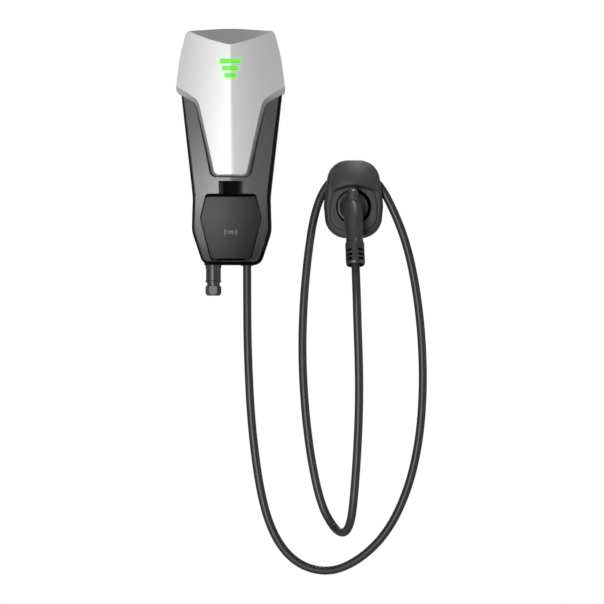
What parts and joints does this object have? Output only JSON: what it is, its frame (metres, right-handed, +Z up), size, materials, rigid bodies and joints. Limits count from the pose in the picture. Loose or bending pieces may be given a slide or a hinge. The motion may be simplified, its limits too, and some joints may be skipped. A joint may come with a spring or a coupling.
{
  "type": "ev wallbox",
  "caption": "Wall-mounted electric car charger with a faceted shield cover, a card panel, status light bars, a supply gland and a tethered cable hung on a wall holder with its plug.",
  "frame": {"origin": "on the wall plane, in the middle of the wall bracket's four bolt holes", "axes": "+Z up, +X to the viewer's right along the wall, -Y out of the wall towards the viewer"},
  "size_m": [0.4806, 0.1542, 1.0427],
  "materials": {
    "steel_sheet": "zinc plated folded sheet",
    "housing_black": "fine moulded texture",
    "housing_grey": "satin moulded",
    "shield_silver": "silver lacquer, satin",
    "light_green": "translucent light guide, lit green",
    "board_white": "white solder mask",
    "panel_grey": "satin moulded",
    "board_green": "green solder mask",
    "part_black": "moulded",
    "part_grey": "moulded",
    "part_blue": "moulded",
    "part_yellow": "taped winding",
    "brass_parts": "turned",
    "wire_sleeve": "soft insulation",
    "screw_steel": "zinc plated",
    "gland_black": "satin moulded",
    "seal_rubber": "matte",
    "holder_black": "fine moulded texture",
    "plug_black": "satin moulded",
    "contact_silver": "silver plated",
    "cable_black": "satin cable jacket"
  },
  "bodies": {
    "root": {"wall_bracket": "steel_sheet", "rear_housing": "housing_black", "housing_gasket": "seal_rubber", "front_housing": "housing_grey", "shield_cover": "shield_silver", "light_guide": "light_green", "led_board": "board_white", "card_panel": "panel_grey", "antenna_board": "board_green", "main_board": "board_green", "relays": "part_black", "terminal_blocks": "part_grey", "current_sensor": "part_blue", "transformer": "part_yellow", "capacitors": "part_black", "control_board": "board_green", "board_spacers": "brass_parts", "load_wires": "wire_sleeve", "housing_screws": "screw_steel", "shield_screws": "screw_steel", "board_screws": "screw_steel", "lock_screw": "screw_steel", "gland_body": "gland_black", "gland_locknut": "gland_black", "gland_seal": "seal_rubber", "gland_nut": "gland_black", "cable_bushing": "seal_rubber", "cable_clamp": "gland_black", "clamp_screws": "screw_steel", "holder_base": "holder_black", "holder_front": "holder_black", "plug_shell": "plug_black", "plug_nose": "plug_black", "plug_contacts": "contact_silver", "plug_boot": "plug_black", "charge_cable": "cable_black"}
  },
  "joints": []
}
